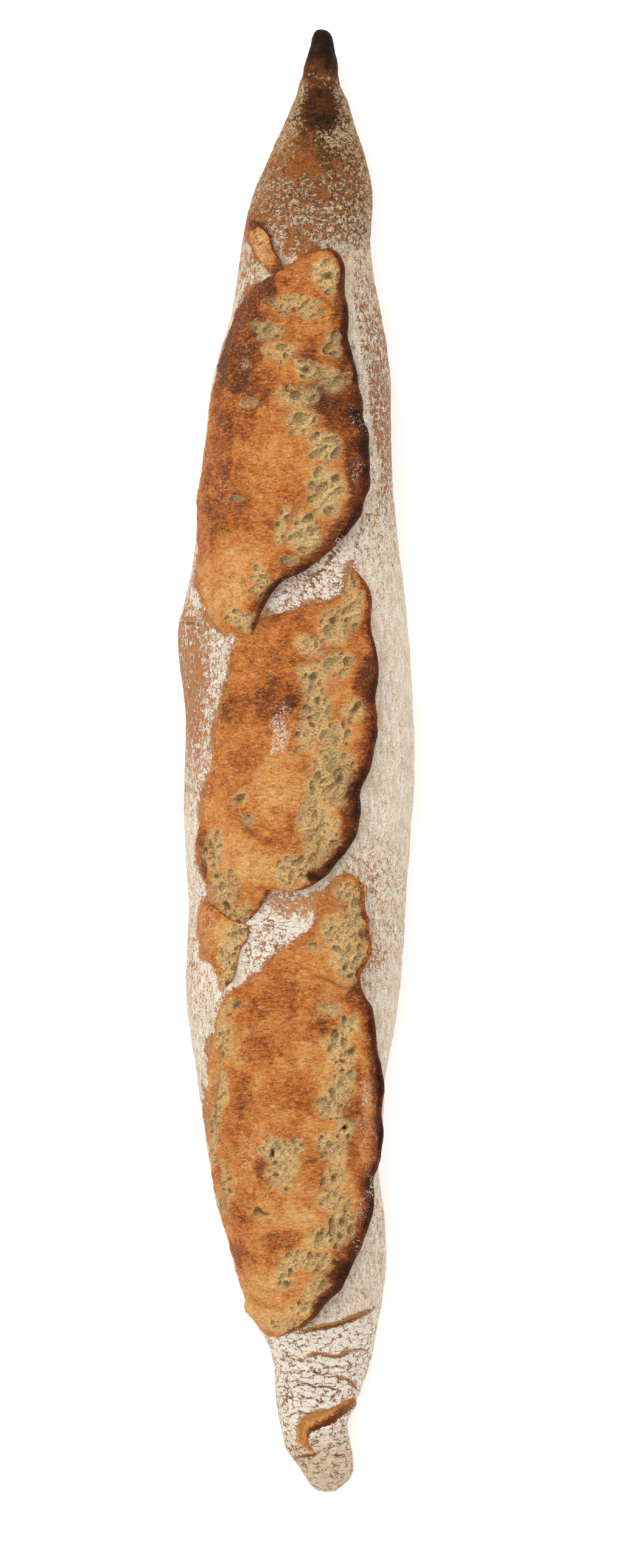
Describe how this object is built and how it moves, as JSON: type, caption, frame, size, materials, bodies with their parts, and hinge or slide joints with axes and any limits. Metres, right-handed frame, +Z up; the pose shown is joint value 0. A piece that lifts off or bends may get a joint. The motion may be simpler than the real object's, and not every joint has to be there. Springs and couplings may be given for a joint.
{
  "type": "baguette",
  "caption": "Hand-shaped country baguette lying on its flat underside, with one pointed end, one twisted blunt end and three opened scores with raised ears.",
  "frame": {"origin": "middle of the flat underside: centre of the loaf's length and width, on the surface it lies on", "axes": "+Y along the loaf towards its pointed end, +X towards the side that the ears lean over, +Z up"},
  "size_m": [0.0804, 0.5, 0.0552],
  "materials": {
    "crust": "matte baked crust, golden brown where the scores opened, dusted with cracked white flour elsewhere"
  },
  "bodies": {
    "root": {"loaf": "crust"}
  },
  "joints": []
}
